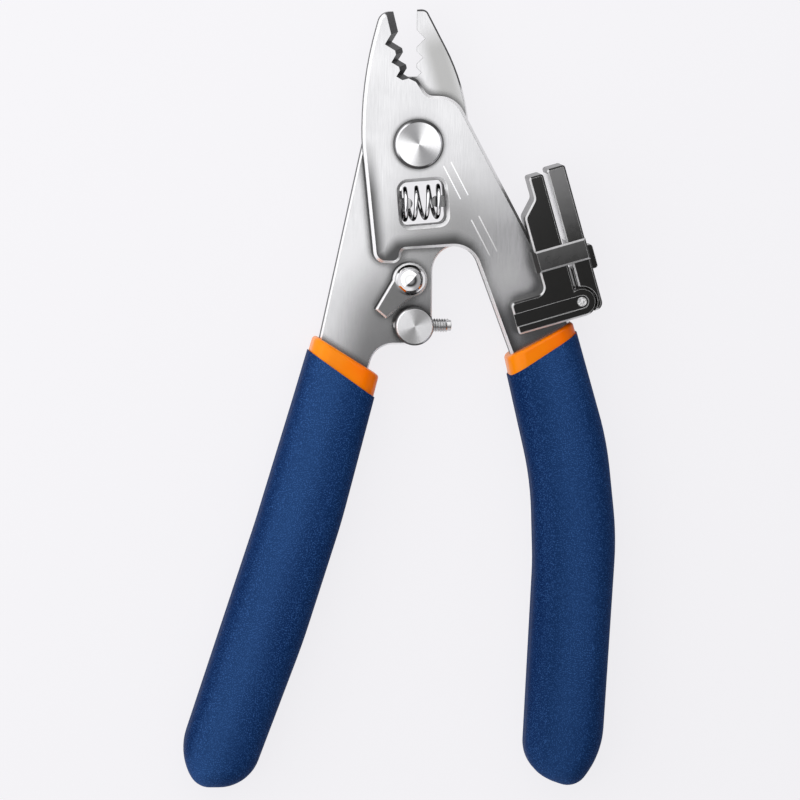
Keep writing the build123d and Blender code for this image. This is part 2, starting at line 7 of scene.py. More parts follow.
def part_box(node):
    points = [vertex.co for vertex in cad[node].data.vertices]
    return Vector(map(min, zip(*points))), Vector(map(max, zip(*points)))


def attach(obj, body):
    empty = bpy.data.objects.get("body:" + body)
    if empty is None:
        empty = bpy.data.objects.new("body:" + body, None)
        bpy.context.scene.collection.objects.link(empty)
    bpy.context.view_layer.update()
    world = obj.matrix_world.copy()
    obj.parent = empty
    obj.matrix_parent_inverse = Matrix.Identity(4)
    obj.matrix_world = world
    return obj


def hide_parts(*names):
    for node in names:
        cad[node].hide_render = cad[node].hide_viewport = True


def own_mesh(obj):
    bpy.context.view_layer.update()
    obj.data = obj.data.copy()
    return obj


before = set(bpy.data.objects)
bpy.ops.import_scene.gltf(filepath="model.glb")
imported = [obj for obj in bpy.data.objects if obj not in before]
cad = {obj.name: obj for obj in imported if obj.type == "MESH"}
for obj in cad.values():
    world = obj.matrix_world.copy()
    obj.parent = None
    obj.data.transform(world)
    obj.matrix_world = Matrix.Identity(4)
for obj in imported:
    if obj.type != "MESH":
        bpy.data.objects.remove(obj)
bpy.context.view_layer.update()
MM = 0.001


# Rear and front frame: two plates of hardened spring steel, blanked, surface ground and satin
# polished. They cross at the pivot, with the jaws ground into their upper ends, and the front
# one carries two pairs of fine engraved lines beside the spring window.
class Sum:
    """A value in a material's nodes: sums on it are plain Python and add Math nodes."""

    def __init__(self, tree, socket=None):
        self.tree = tree
        self.socket = socket

    def node(self, kind, settings=None, inputs=None, output=0):
        """Any other node: its settings first, then the values or links of its sockets."""
        made = self.tree.nodes.new("ShaderNode" + kind)
        for name, value in (settings or {}).items():
            setattr(made, name, value)
        for key, value in (inputs or {}).items():
            if isinstance(value, Sum):
                self.tree.links.new(value.socket, made.inputs[key])
            else:
                made.inputs[key].default_value = value
        return Sum(self.tree, made.outputs[output] if made.outputs else None)

    def math(self, operation, *others):
        """A Math node on this value, and on a second one where it takes two."""
        return self.node("Math", {"operation": operation}, dict(enumerate((self, *others))))

    def __add__(self, other):
        return self.math("ADD", other)

    def __sub__(self, other):
        return self.math("SUBTRACT", other)

    def __rsub__(self, other):
        return self.node("Math", {"operation": "SUBTRACT"}, {0: other, 1: self})

    def __mul__(self, other):
        return self.math("MULTIPLY", other)

    def __truediv__(self, other):
        return self.math("DIVIDE", other)

    def __abs__(self):
        return self.math("ABSOLUTE")

    __radd__ = __add__
    __rmul__ = __mul__

    def rise(self, low, high):
        """0 below low, 1 above high, and smooth between."""
        span = {"Value": self, "From Min": low, "From Max": high}
        return self.node("MapRange", {"interpolation_type": "SMOOTHSTEP"}, span)

    def band(self, centre, half, feather):
        """1 within half of a centre, 0 past the feather beside it."""
        return 1 - abs(self - centre).rise(half, half + feather)

    def mix(self, first, second):
        """Colour between two, by this value."""
        return self.node("Mix", {"data_type": "RGBA"}, {0: self, 6: first, 7: second}, 2)

    def dot(self, other):
        return self.node("VectorMath", {"operation": "DOT_PRODUCT"}, {0: self, 1: other}, "Value")

    def axis(self, name):
        """X, Y or Z of a vector."""
        return self.node("SeparateXYZ", inputs={0: self}, output=name)


def new_finish(name):
    """An empty material, and the start of its sums."""
    material = bpy.data.materials.new(name)
    material.use_nodes = True
    material.node_tree.nodes.clear()
    return material, Sum(material.node_tree)


def close_finish(start, **sockets):
    """The surface shader with its sockets, named as in the shader with _ for a space."""
    inputs = {name.replace("_", " "): value for name, value in sockets.items()}
    start.node("OutputMaterial", inputs={"Surface": start.node("BsdfPrincipled", inputs=inputs)})


def paint(material, *names):
    for name in names:
        cad[name].material_slots[0].material = material


def grey(level):
    return (level, level, level, 1.0)


def middle(name):
    low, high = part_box(name)
    return (low + high) / 2


def place_on(start):
    return start.node("TexCoord", output="Object")


def from_point(place, point):
    """X and Y from a point, in mm."""
    return (place.axis("X") - point.x) / MM, (place.axis("Y") - point.y) / MM


def away(across, along):
    """Distance from a point, by its two parts."""
    return (across * across + along * along).math("SQRT")


def face_of(start):
    """Way that the face points, in the piece's own axes."""
    return start.node("TexCoord", output="Normal")


def rounded_edge(start, radius):
    """Normal rounded over the edges."""
    return start.node("Bevel", {"samples": EDGE_SAMPLES}, {"Radius": radius})


def edge_turn(start, rounded):
    """How far a rounded normal turns from the face: 0 on flat faces."""
    return 1 - rounded.dot(start.node("NewGeometry", output="Normal"))


def noise(start, place, scale, detail=2.0):
    return start.node("TexNoise", inputs={"Vector": place, "Scale": scale, "Detail": detail})


def stretched_noise(start, place, scales):
    """Noise with its own scale along each axis."""
    stretch = start.node("Mapping", inputs={"Vector": place, "Scale": scales})
    return noise(start, stretch, scale=1.0)


def bump(start, height, distance, strength, normal):
    inputs = {"Height": height, "Distance": distance, "Strength": strength, "Normal": normal}
    return start.node("Bump", inputs=inputs)


UP = (0.0, 0.0, 1.0)
RIGHT = (1.0, 0.0, 0.0)
PIVOT = middle("pivot_screw")
STEEL = (0.72, 0.72, 0.73, 1.0)
STEEL_SHADE = (0.60, 0.60, 0.61, 1.0)
DULL_WALL_SHADE = grey(0.07)            # cut walls, left dull, and painted dark as shade
SHADED_STEEL = grey(0.10)             # painted shade: jaw bevels that face left, edge lines, corners, the tang's foot, walls of turned parts
STEEL_HIGHLIGHT = grey(0.95)            # painted highlight: on the chamfers of the front faces, and as a pool of light
MIDDLE_SHADE = grey(0.33)             # painted shade across the middle of the plates
EDGE_ROUND = 0.10 * MM
EDGE_SAMPLES = 8                # of rounded edges and shaded corners
GRAIN = (5200.0, 260.0, 5200.0)     # marks in a metre: fine across the plates, long along them

# Places on the plates, in mm from the pivot. A spot is its place, its core and its edge.
JAW_FOOT = (11.0, 13.0)         # the ground jaws begin
# Painted shade across the middle of the plates:
MIDDLE_SHADE_SPOT = ((5.0, -18.5), 3.0, 17.0)
LIGHT_POOL_SPOT = ((19.5, -29.0), 0.0, 9.0)     # painted pool of light, above the slitter's foot
FRONT_TANG_SHADE = (-42.0, -31.0)     # painted shade, darker down to the grip


def spot(x, y, place, core, edge):
    """1 within the core of a round spot, 0 outside its edge."""
    return 1 - away(x - place[0], y - place[1]).rise(core, edge)


# Lower rim of the front frame, darkened by painted shade along it
RIM = (
    (-11.8, -1.0), (-9.4, -24.2), (-6.7, -25.5), (-3.8, -22.6),
    (7.7, -21.5), (10.4, -22.8), (12.5, -26.0), (19.9, -44.6))
RIM_SHADE = grey(0.06)
RIM_WIDTH = (0.6, 3.6)
RIM_TOP = (-12.0, 4.0)


def painted_rim_shade(x, y):
    """Painted shade: 1 along the rim's runs, fading inwards and up the plate."""
    nearest = None
    for (from_x, from_y), (to_x, to_y) in zip(RIM, RIM[1:]):
        length = math.hypot(to_x - from_x, to_y - from_y)
        run_x, run_y = (to_x - from_x) / length, (to_y - from_y) / length
        out_x, out_y = x - from_x, y - from_y
        limits = {"Value": out_x * run_x + out_y * run_y, "Min": 0.0, "Max": length}
        reach = x.node("Clamp", inputs=limits)
        apart = away(out_x - reach * run_x, out_y - reach * run_y)
        nearest = nearest.math("MINIMUM", apart) if nearest else apart
    return (1 - nearest.rise(*RIM_WIDTH)) * (1 - y.rise(*RIM_TOP))


LINE_COLOUR = grey(0.95)
LINE_LEAN = math.radians(27.8)
LINE_HALF = 0.11
LINE_FEATHER = 0.05
LINE_END = 0.1
LINE_ACROSS = (2.62, 4.42)      # square to the lines
LINE_ALONG = ((6.7, 14.6), (19.7, 28.2))


def engraved(x, y):
    """Two pairs of fine lines, along the plate's right edge."""
    across = x * math.cos(LINE_LEAN) + y * math.sin(LINE_LEAN)
    along = x * math.sin(LINE_LEAN) - y * math.cos(LINE_LEAN)
    strokes = [across.band(place, LINE_HALF, LINE_FEATHER) for place in LINE_ACROSS]
    spans = [along.band((low + high) / 2, (high - low) / 2, LINE_END) for low, high in LINE_ALONG]
    return sum(stroke * span for stroke in strokes for span in spans)


# Painted shade on the rear jaw's cheek.
JAW_CHEEK_SHADE = (0.40, 0.40, 0.395, 1.0)
JAW_CHEEK_LEAN = math.radians(16)  # the rear jaw's back leans from the Y axis
JAW_CHEEK_ACROSS = (9.5, 0.8, 3.6)     # centre, half and feather
JAW_CHEEK_ALONG = (12.5, 5.0, 8.0)


def painted_cheek_shade(x, y):
    """Painted shade along the middle of the rear jaw's cheek, fading to its rims."""
    across = x * math.cos(JAW_CHEEK_LEAN) + y * math.sin(JAW_CHEEK_LEAN)
    along = y * math.cos(JAW_CHEEK_LEAN) - x * math.sin(JAW_CHEEK_LEAN)
    return across.band(*JAW_CHEEK_ACROSS) * along.band(*JAW_CHEEK_ALONG)


# Painted shade on the rear tang.
TANG_SHADE = grey(0.2)
TANG_EDGE = (-15.2, -27.3)      # a point on the rear tang's left edge
TANG_SLOPE = 0.223              # how that edge leans: X over Y
TANG_ACROSS = (-2.0, 9.0)
TANG_DOWN = (-38.0, -18.0)


def painted_tang_shade(x, y):
    """Painted shade on the rear tang, darker away from its left edge and towards the grip."""
    from_edge = x - TANG_EDGE[0] - (y - TANG_EDGE[1]) * TANG_SLOPE
    return from_edge.rise(*TANG_ACROSS) * (1 - y.rise(*TANG_DOWN)) * 0.83


def satin_steel(name, is_front):
    """Satin polish and dull walls, with painted shade on the walls, in corners, along edges and
    on jaw bevels that face left, and painted highlights on the chamfers.
    """
    material, start = new_finish(name)
    place = place_on(start)
    x, y = from_point(place, PIVOT)
    grain = stretched_noise(start, place, GRAIN)
    cloud = noise(start, place, scale=90.0, detail=3.0)
    face = face_of(start)
    up = face.dot(UP)
    upper = up.rise(0.94, 0.97)
    wall = 1 - abs(up).rise(0.2, 0.3)
    slope = up.rise(0.25, 0.3) * (1 - up.rise(0.88, 0.94))
    jaw = y.rise(*JAW_FOOT) * face.dot(RIGHT).rise(-0.4, -0.3)
    colour = (cloud * 0.6 + grain * 0.4).rise(0.3, 0.7).mix(STEEL_SHADE, STEEL)
    # Painted shade across the middle of the plates.
    colour = (spot(x, y, *MIDDLE_SHADE_SPOT) * 0.85).mix(colour, MIDDLE_SHADE)
    if is_front:
        corner_reach = 3.0 * MM
        # Painted shade along the lower rim and down the tang, and a painted pool of light above
        # the slitter's foot.
        colour = (painted_rim_shade(x, y) * 0.95).mix(colour, RIM_SHADE)
        colour = (spot(x, y, *LIGHT_POOL_SPOT) * 0.85).mix(colour, STEEL_HIGHLIGHT)
        colour = ((1 - y.rise(*FRONT_TANG_SHADE)) * 0.25).mix(colour, SHADED_STEEL)
        colour = (engraved(x, y) * upper).mix(colour, LINE_COLOUR)
    else:
        corner_reach = 2.0 * MM
        # Painted shade along the rear jaw's cheek and across the rear tang.
        colour = (painted_cheek_shade(x, y) * upper).mix(colour, JAW_CHEEK_SHADE)
        colour = (painted_tang_shade(x, y) * upper).mix(colour, TANG_SHADE)
    # Painted shade in corners and beside raised parts.
    openness = start.node(
        "AmbientOcclusion", {"samples": EDGE_SAMPLES}, {"Distance": corner_reach}, "AO")
    colour = ((1 - openness).rise(0.05, 0.45) * 0.85).mix(colour, SHADED_STEEL)
    # Painted shade on the walls; on sloped faces a painted highlight, but painted shade on jaw
    # bevels that face left.
    colour = wall.mix(colour, DULL_WALL_SHADE)
    colour = slope.mix(colour, jaw.mix(STEEL_HIGHLIGHT, SHADED_STEEL))
    rounded = rounded_edge(start, EDGE_ROUND)
    # Painted shade as dark lines along the edges.
    colour = (edge_turn(start, rounded).rise(0.02, 0.2) * 0.85).mix(colour, SHADED_STEEL)
    close_finish(
        start, Base_Color=colour, Metallic=1.0,
        Roughness=0.13 + grain * 0.05 + cloud * 0.04 + (wall + slope) * 0.25,
        Normal=bump(start, grain, distance=0.004 * MM, strength=0.25, normal=rounded))
    return material


paint(satin_steel("satin_steel_rear", is_front=False), "rear_frame")
paint(satin_steel("satin_steel_front", is_front=True), "front_frame")


# Pivot screw, its nut, the stop post and the small screws: turned from bright bar, with the fine
# rings that the tool leaves on a faced end.
# Painted reflections: spun faces go light and dark in wedges round their centre, as their
# highlights would.
SPUN_LIGHT = (0.96, 0.96, 0.97, 1.0)
SPUN_DARK = (0.30, 0.30, 0.305, 1.0)
POST_DARK = grey(0.42)
RING_PITCH = 0.16               # mm
CONE_TURN = math.radians(-30)   # where the darker wedges of a spun face's painted reflection lie
POST_CONE_TURN = math.radians(-155)
CRESCENT = (0.3, 1.0, 0.0)      # walls that face this way, or away from it, get painted shade
PIVOT_LIP = 0.32 * MM           # upper part of the chamfer, painted bright; below it painted shade
POST_LIP = 0.20 * MM
LIP_FADE = 0.08 * MM


def spun_steel(name, centre, dark=SPUN_DARK, cone_turn=CONE_TURN, lip_foot=None):
    """A spun face about a centre, with painted reflections in light and dark wedges, chamfers and
    walls painted bright, and painted shade on walls that face one way; below the lip's foot
    painted shade darkens the chamfer and the wall.
    """
    material, start = new_finish(name)
    place = place_on(start)
    x, y = from_point(place, centre)
    # Painted reflection: light and dark wedges round the centre.
    wedge = ((y.math("ARCTAN2", x) + cone_turn) * 2.0).math("COSINE")
    ring = start.node("CombineXYZ", inputs={0: away(x, y) / RING_PITCH})
    rings = noise(start, ring, scale=1.0, detail=3.0)
    face = face_of(start)
    flat = abs(face.dot(UP)).rise(0.9, 0.98)
    shade = (wedge + (rings - 0.5) * 0.8).rise(-1.1, 0.6)
    colour = (shade + (1 - flat)).mix(dark, SPUN_LIGHT)
    # Painted shade on walls that face one way, and below the lip's foot.
    colour = abs(face.dot(CRESCENT)).rise(0.42, 0.62).mix(colour, SHADED_STEEL)
    if lip_foot:
        below = 1 - place.axis("Z").rise(lip_foot - LIP_FADE, lip_foot + LIP_FADE)
        colour = (below * (1 - flat) * 0.9).mix(colour, SHADED_STEEL)
    rounded = rounded_edge(start, EDGE_ROUND)
    close_finish(
        start, Base_Color=colour, Metallic=1.0,
        Roughness=0.22 + rings * 0.08 + (1 - flat) * 0.25,
        Normal=bump(start, rings * flat, distance=0.02 * MM, strength=0.35, normal=rounded))
    return material


pivot_lip_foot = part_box("pivot_screw")[1].z - PIVOT_LIP
post_lip_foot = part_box("stop_post")[1].z - POST_LIP
paint(spun_steel("spun_steel_pivot", PIVOT, lip_foot=pivot_lip_foot), "pivot_screw")
paint(spun_steel("spun_steel_nut", PIVOT), "pivot_nut")
paint(
    spun_steel("spun_steel_post", middle("stop_post"), POST_DARK, POST_CONE_TURN, post_lip_foot),
    "stop_post")
paint(spun_steel("turned_steel", middle("slitter_screws")), "slitter_screws", "lock_washer")


# Lock lever: a flat stamped arm, blackened and then ground bright along its bevelled edges, which
# also carry a painted highlight. The chrome dome of its rivet sits in the eye.
LEVER_FACE = grey(0.20)
LEVER_EDGE_HIGHLIGHT = grey(0.92)


def bevelled(start, steepest=0.25, flattest=0.93):
    """1 on faces that slope, 0 on flat tops and on upright walls."""
    up = face_of(start).dot(UP)
    return up.rise(steepest, steepest + 0.05) * (1 - up.rise(flattest, flattest + 0.04))


material, start = new_finish("lever_steel")
grain = noise(start, place_on(start), scale=900.0, detail=4.0)
bevel = bevelled(start)
close_finish(
    start, Base_Color=(bevel + grain * 0.06).mix(LEVER_FACE, LEVER_EDGE_HIGHLIGHT), Metallic=1.0,
    Roughness=0.30 + grain * 0.1 + bevel * 0.25, Normal=rounded_edge(start, EDGE_ROUND))
paint(material, "lock_lever")

material, start = new_finish("chrome_plate")
haze = noise(start, place_on(start), scale=400.0)
close_finish(
    start, Base_Color=haze.mix(grey(0.82), grey(0.88)), Metallic=1.0,
    Roughness=0.04 + haze * 0.03)
paint(material, "lock_rivet")


# Return spring: hard drawn steel wire, wound left-handed with closed ends. It sits in the window
# between a tongue of each frame and presses the handles apart.
WIRE_CROWN_HIGHLIGHT = (0.90, 0.90, 0.91, 1.0)
WIRE_FLANK_SHADE = grey(0.03)         # painted shade on the flanks; the crown, facing up or down, carries a painted highlight
SPRING_RING = 3.35 * MM         # wire centre to the spring's axis
SPRING_WIRE = 0.45 * MM         # half the wire
SPRING_SIDES = 14               # faces round the wire
SPRING_LEAN = math.radians(5)
SPRING_TURNS = 4.25
SPRING_STEPS = 36               # steps in a turn
CLOSED_PITCH = 0.96 * MM
OPEN_PITCH = 2.55 * MM
CLOSED_TURNS = 0.8              # close wound at the first end
OPENING_TURNS = 0.4             # from closed to open there
WIRE_SMOOTH = math.radians(40)


def wind(name, half_wire, sides, ring, turns, steps, pitch, hand):
    """Wire wound about X from a ring of points, hand 1 for right-handed, -1 for left-handed."""
    bpy.ops.object.select_all(action="DESELECT")
    bpy.ops.mesh.primitive_circle_add(
        vertices=sides, radius=half_wire, location=(0.0, ring, 0.0))
    wire = bpy.context.object
    wire.name = name
    bpy.ops.object.transform_apply(location=True, rotation=True, scale=True)
    bpy.ops.object.mode_set(mode="EDIT")
    bpy.ops.mesh.select_all(action="SELECT")
    for step in range(round(turns * steps)):
        advance = pitch((step + 0.5) / steps) / steps
        bpy.ops.mesh.extrude_edges_move(TRANSFORM_OT_translate={"value": (advance, 0.0, 0.0)})
        bpy.ops.transform.rotate(
            value=-hand * math.tau / steps, orient_axis="X", center_override=(0.0, 0.0, 0.0))
    bpy.ops.mesh.select_all(action="SELECT")
    bpy.ops.mesh.fill_holes(sides=sides)
    bpy.ops.mesh.normals_make_consistent(inside=False)
    bpy.ops.object.mode_set(mode="OBJECT")
    bpy.ops.object.shade_smooth_by_angle(angle=WIRE_SMOOTH)
    return wire


def spring_pitch(turn):
    """Close wound at both ends, open between."""
    opening = min((turn - CLOSED_TURNS) / OPENING_TURNS, SPRING_TURNS - turn)
    return CLOSED_PITCH + (OPEN_PITCH - CLOSED_PITCH) * min(max(opening, 0.0), 1.0)


spring = wind(
    "spring_coil", SPRING_WIRE, SPRING_SIDES, SPRING_RING, SPRING_TURNS, SPRING_STEPS,
    spring_pitch, hand=-1)
spring_length = max(vertex.co.x for vertex in spring.data.vertices)
spring_axis = Vector((math.cos(SPRING_LEAN), math.sin(SPRING_LEAN), 0.0))
spring.rotation_euler = (0.0, 0.0, SPRING_LEAN)
spring.location = middle("return_spring") - spring_axis * spring_length / 2
bpy.ops.object.transform_apply(location=True, rotation=True, scale=True)

material, start = new_finish("spring_wire")
draw_marks = noise(start, place_on(start), scale=2500.0)
crown = abs(face_of(start).dot(UP)) + draw_marks * 0.2
# Painted highlight on the crown and painted shade on the flanks, by which way the face points.
close_finish(
    start, Base_Color=crown.rise(0.55, 1.0).mix(WIRE_FLANK_SHADE, WIRE_CROWN_HIGHLIGHT), Metallic=1.0,
    Roughness=0.10 + draw_marks * 0.08)
spring.data.materials.append(material)
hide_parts("return_spring")
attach(spring, "rear_lever")
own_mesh(spring)


# Stop screw: a grub screw of bright steel with a fine thread and a hexagon socket. It is run
# through the post and limits how far the handles close.
THREAD_PITCH = 0.55 * MM
THREAD_HALF = 0.30 * MM
THREAD_LEAD = 0.45 * MM         # plain end of the screw
THREAD_STEPS = 24               # steps in a turn
THREAD_SIDES = 4
CORE_SIDES = 32
CORE_BEVEL = 0.12 * MM
SOCKET = 0.75 * MM              # axis to a corner
SOCKET_SIDES = 6
SOCKET_DEPTH = 1.3 * MM
SCREW_SMOOTH = math.radians(30)
ALONG_X = (0.0, math.pi / 2, 0.0)   # turns a cylinder's axis from Z to X
screw_low, screw_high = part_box("stop_screw")
screw_middle = middle("stop_screw")
screw_length = screw_high.x - screw_low.x
core_radius = (screw_high.z - screw_low.z) / 2 - THREAD_HALF


def modify(piece, kind, **settings):
    """One modifier, set and applied."""
    bpy.ops.object.select_all(action="DESELECT")
    piece.select_set(True)
    bpy.context.view_layer.objects.active = piece
    bpy.ops.object.modifier_add(type=kind)
    modifier = piece.modifiers[0]
    for name, value in settings.items():
        setattr(modifier, name, value)
    bpy.ops.object.modifier_apply(modifier=modifier.name)


bpy.ops.object.select_all(action="DESELECT")
bpy.ops.mesh.primitive_cylinder_add(
    vertices=CORE_SIDES, radius=core_radius, depth=screw_length, location=screw_middle,
    rotation=ALONG_X)
stop_screw = bpy.context.object
stop_screw.name = "stop_screw_threaded"
bpy.ops.object.transform_apply(location=True, rotation=True, scale=True)
bpy.ops.mesh.primitive_cylinder_add(
    vertices=SOCKET_SIDES, radius=SOCKET, depth=2 * SOCKET_DEPTH,
    location=(screw_low.x, screw_middle.y, screw_middle.z), rotation=ALONG_X)
key_hole = bpy.context.object
modify(stop_screw, "BOOLEAN", object=key_hole, solver="EXACT")
bpy.data.objects.remove(key_hole)
modify(stop_screw, "BEVEL", width=CORE_BEVEL)

thread_turns = int((screw_length - 2 * THREAD_LEAD) / THREAD_PITCH)
thread = wind(
    "thread", THREAD_HALF, THREAD_SIDES, core_radius, thread_turns, THREAD_STEPS,
    lambda turn: THREAD_PITCH, hand=1)
thread.location = (screw_low.x + THREAD_LEAD, screw_middle.y, screw_middle.z)
bpy.ops.object.transform_apply(location=True, rotation=True, scale=True)
stop_screw.select_set(True)
bpy.context.view_layer.objects.active = stop_screw
bpy.ops.object.join()
bpy.ops.object.shade_smooth_by_angle(angle=SCREW_SMOOTH)

material, start = new_finish("screw_steel")
oil = noise(start, place_on(start), scale=1200.0)
close_finish(
    start, Base_Color=oil.mix(grey(0.45), grey(0.85)), Metallic=1.0, Roughness=0.26 + oil * 0.1)
stop_screw.data.materials.append(material)
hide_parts("stop_screw")
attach(stop_screw, "stop")


# Sleeves and collars: a soft orange layer round each tang, moulded over with a blue sleeve that
# has a fine spark-eroded grain. The orange shows as a glossy collar above the sleeve.
BLUE = (0.0010, 0.0175, 0.081, 1.0)
BLUE_LIGHT = (0.0330, 0.1020, 0.295, 1.0)
GRIP_HALF = 8.8                 # half the grip's width, mm
CREST_FADE = 0.8                # half widths from the crest to skin without painted light
LEFT_EDGE = (0.65, 1.0)         # half widths to the left, where painted shade darkens the skin


def blue_sleeve(node, line, crest, crest_light):
    """Grained skin, with painted light along a crest that lies a share of the half width from the
    grip's middle line, and painted shade towards its left edge. The line gives x by powers of y,
    in mm from the pivot."""
    material, start = new_finish("blue_" + node)
    place = place_on(start)
    grain = noise(start, place, scale=3600.0)
    speck = noise(start, place, scale=4600.0, detail=0.0).rise(0.53, 0.70)
    cloud = noise(start, place, scale=60.0)
    x, y = from_point(place, PIVOT)
    across = (x - (line[0] + y * line[1] + y * y * line[2])) / GRIP_HALF
    # Painted light along the crest and painted shade towards the left edge.
    painted_lighting = across.band(crest, 0.0, CREST_FADE) * crest_light - (0 - across).rise(*LEFT_EDGE) * 0.22
    light = speck * 0.62 + cloud * 0.10 + grain * 0.2 + painted_lighting - 0.06
    face = start.node("NewGeometry", output="Normal")
    close_finish(
        start, Base_Color=light.mix(BLUE, BLUE_LIGHT), Specular_IOR_Level=0.06,
        Roughness=0.58 + grain * 0.12,
        Normal=bump(start, grain, distance=0.08 * MM, strength=0.6, normal=face))
    paint(material, node)


blue_sleeve("left_grip_sleeve", line=(-5.2, 0.190, -0.00066), crest=-0.33, crest_light=0.38)
blue_sleeve("right_grip_sleeve", line=(12.1, -0.467, -0.00248), crest=0.05, crest_light=0.26)

ORANGE = (1.0, 0.27, 0.0, 1.0)
ORANGE_IN_SHADE = (1.0, 0.155, 0.0, 1.0)
COLLAR_WIDTH = 17.0             # mm


def orange_collar(node, left):
    """Glossy orange, with painted shade that deepens it from its left end, in mm from the pivot,
    to its right.
    """
    material, start = new_finish("orange_" + node)
    place = place_on(start)
    flow = noise(start, place, scale=220.0)
    from_left = (place.axis("X") - PIVOT.x) / MM - left
    # Painted shade, growing from the collar's left end to its right.
    painted_shade = (from_left / COLLAR_WIDTH + (flow - 0.5) * 0.5).rise(0.05, 1.05)
    close_finish(
        start, Base_Color=painted_shade.mix(ORANGE, ORANGE_IN_SHADE), Specular_IOR_Level=0.05,
        Roughness=0.32 + flow * 0.08, Coat_Weight=0.25, Coat_Roughness=0.06)
    paint(material, node)


orange_collar("left_grip_collar", left=-22.0)
orange_collar("right_grip_collar", left=18.0)

RIM_FOOT = PIVOT + Vector((20.1, -49.6, 0.0)) * MM  # left end of the right sleeve's rim
RIM_TIP = PIVOT + Vector((35.2, -41.0, 0.0)) * MM   # right end
RIM_REACH = 1.1                 # the lift grows to this share of the run, past the tip
RIM_LIFT = 1.2 * MM             # at the right end, along the grip's edge
RIM_FADE = 9.0 * MM             # below the rim
GRIP_EDGE = Vector((-0.19, 0.98, 0.0))  # way up the right edge
MERGE = 0.002 * MM
GRIP_SMOOTH = math.radians(35)


def lift_rim(node, name):
    """The right grip's part with its rim drawn up at the right end, under the slitter's foot."""
    bpy.ops.object.select_all(action="DESELECT")
    part = bpy.data.objects.new(name, cad[node].data.copy())
    bpy.context.scene.collection.objects.link(part)
    part.select_set(True)
    bpy.context.view_layer.objects.active = part
    bpy.ops.object.mode_set(mode="EDIT")
    bpy.ops.mesh.select_all(action="SELECT")
    bpy.ops.mesh.remove_doubles(threshold=MERGE)
    bpy.ops.mesh.customdata_custom_splitnormals_clear()
    bpy.ops.object.mode_set(mode="OBJECT")
    run = RIM_TIP - RIM_FOOT
    square = Vector((-run.y, run.x, 0.0)).normalized()
    for vertex in part.data.vertices:
        out = vertex.co - RIM_FOOT
        along = min(max(out.dot(run) / run.length_squared, 0.0), RIM_REACH)
        near = min(max(1 + out.dot(square) / RIM_FADE, 0.0), 1.0)
        vertex.co += GRIP_EDGE * (RIM_LIFT * along * near)
    bpy.ops.object.shade_smooth_by_angle(angle=GRIP_SMOOTH)
    modify(part, "WEIGHTED_NORMAL", keep_sharp=True)
    part.data.materials.clear()
    part.data.materials.append(cad[node].material_slots[0].material)
    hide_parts(node)
    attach(part, "front_lever")


lift_rim("right_grip_sleeve", "right_sleeve")
lift_rim("right_grip_collar", "right_collar")


# Slitter: a black plated zinc casting screwed to the right tang, with a hinged bar, a guard band
# over both blades and a bright wear strip on the bar. The plating wears bright along the edges,
# with painted highlights on chamfers that face one way and on the body's face in the slot, and
# painted sheen on the upper faces.
BLACK = (0.0030, 0.0028, 0.0020, 1.0)
EDGE_WEAR_AND_HIGHLIGHT = grey(0.78)
PAINTED_SHEEN = grey(0.19)              # painted sheen on the upper faces, growing towards one end
SLITTER_LEAN = math.radians(16)
SLITTER_LEFT = (-math.cos(SLITTER_LEAN), -math.sin(SLITTER_LEAN), 0.0)
HIGHLIGHT_WAY = (-0.8, -0.6, 0.0)    # chamfers that face this way get a painted highlight
CAST_ROUND = 0.16 * MM


def black_casting(name, sheen_from, sheen_to):
    """Black plating, with painted sheen that grows towards one end of the slitter: the limits are
    mm from the hinge.
    """
    material, start = new_finish(name)
    place = place_on(start)
    skin = noise(start, place, scale=700.0, detail=3.0)
    x, y = from_point(place, middle("slitter_pin"))
    along = y * math.cos(SLITTER_LEAN) - x * math.sin(SLITTER_LEAN)
    face = face_of(start)
    to_left = face.dot(SLITTER_LEFT)
    upper = face.dot(UP).rise(0.9, 0.98)
    line = upper * edge_turn(start, rounded_edge(start, CAST_ROUND)).rise(0.004, 0.035)
    chamfer = bevelled(start, flattest=0.90)
    # Painted highlight on sloped faces: on the guard those that face along the slitter, elsewhere
    # those that face one way.
    if name == "black_guard":
        chamfer = chamfer * to_left.band(0.0, 0.3, 0.2) * 0.75
    else:
        chamfer = chamfer * face.dot(HIGHLIGHT_WAY).rise(-0.1, 0.1)
    # Edges along the upper faces wear bright, with painted highlights added on the chamfers.
    wear_and_highlight = chamfer.math("MAXIMUM", line) * (0.7 + skin * 0.4)
    # Painted highlight on the body's right face, seen in the slot.
    if name == "black_body":
        wear_and_highlight = wear_and_highlight.math("MAXIMUM", (0 - to_left).rise(0.9, 0.97))
    # Painted sheen on the upper faces, growing along the slitter.
    painted_lighting = (along + skin * 3.0).rise(sheen_from, sheen_to) * upper
    close_finish(
        start, Base_Color=wear_and_highlight.mix(painted_lighting.mix(BLACK, PAINTED_SHEEN), EDGE_WEAR_AND_HIGHLIGHT), Metallic=wear_and_highlight,
        Roughness=0.20 + skin * 0.08 + painted_lighting * 0.2 + wear_and_highlight * 0.2)
    return material


paint(black_casting("black_body", 20.0, 130.0), "slitter_body")
paint(black_casting("black_bar", 10.0, 34.0), "slitter_jaw")
paint(black_casting("black_guard", 4.0, 30.0), "blade_guard")

material, start = new_finish("pin_end")
pecks = noise(start, place_on(start), scale=2600.0, detail=1.0).rise(0.35, 0.65)
close_finish(
    start, Base_Color=pecks.mix(grey(0.45), grey(0.95)), Metallic=0.35,
    Roughness=0.45 + pecks * 0.1)
paint(material, "slitter_pin")

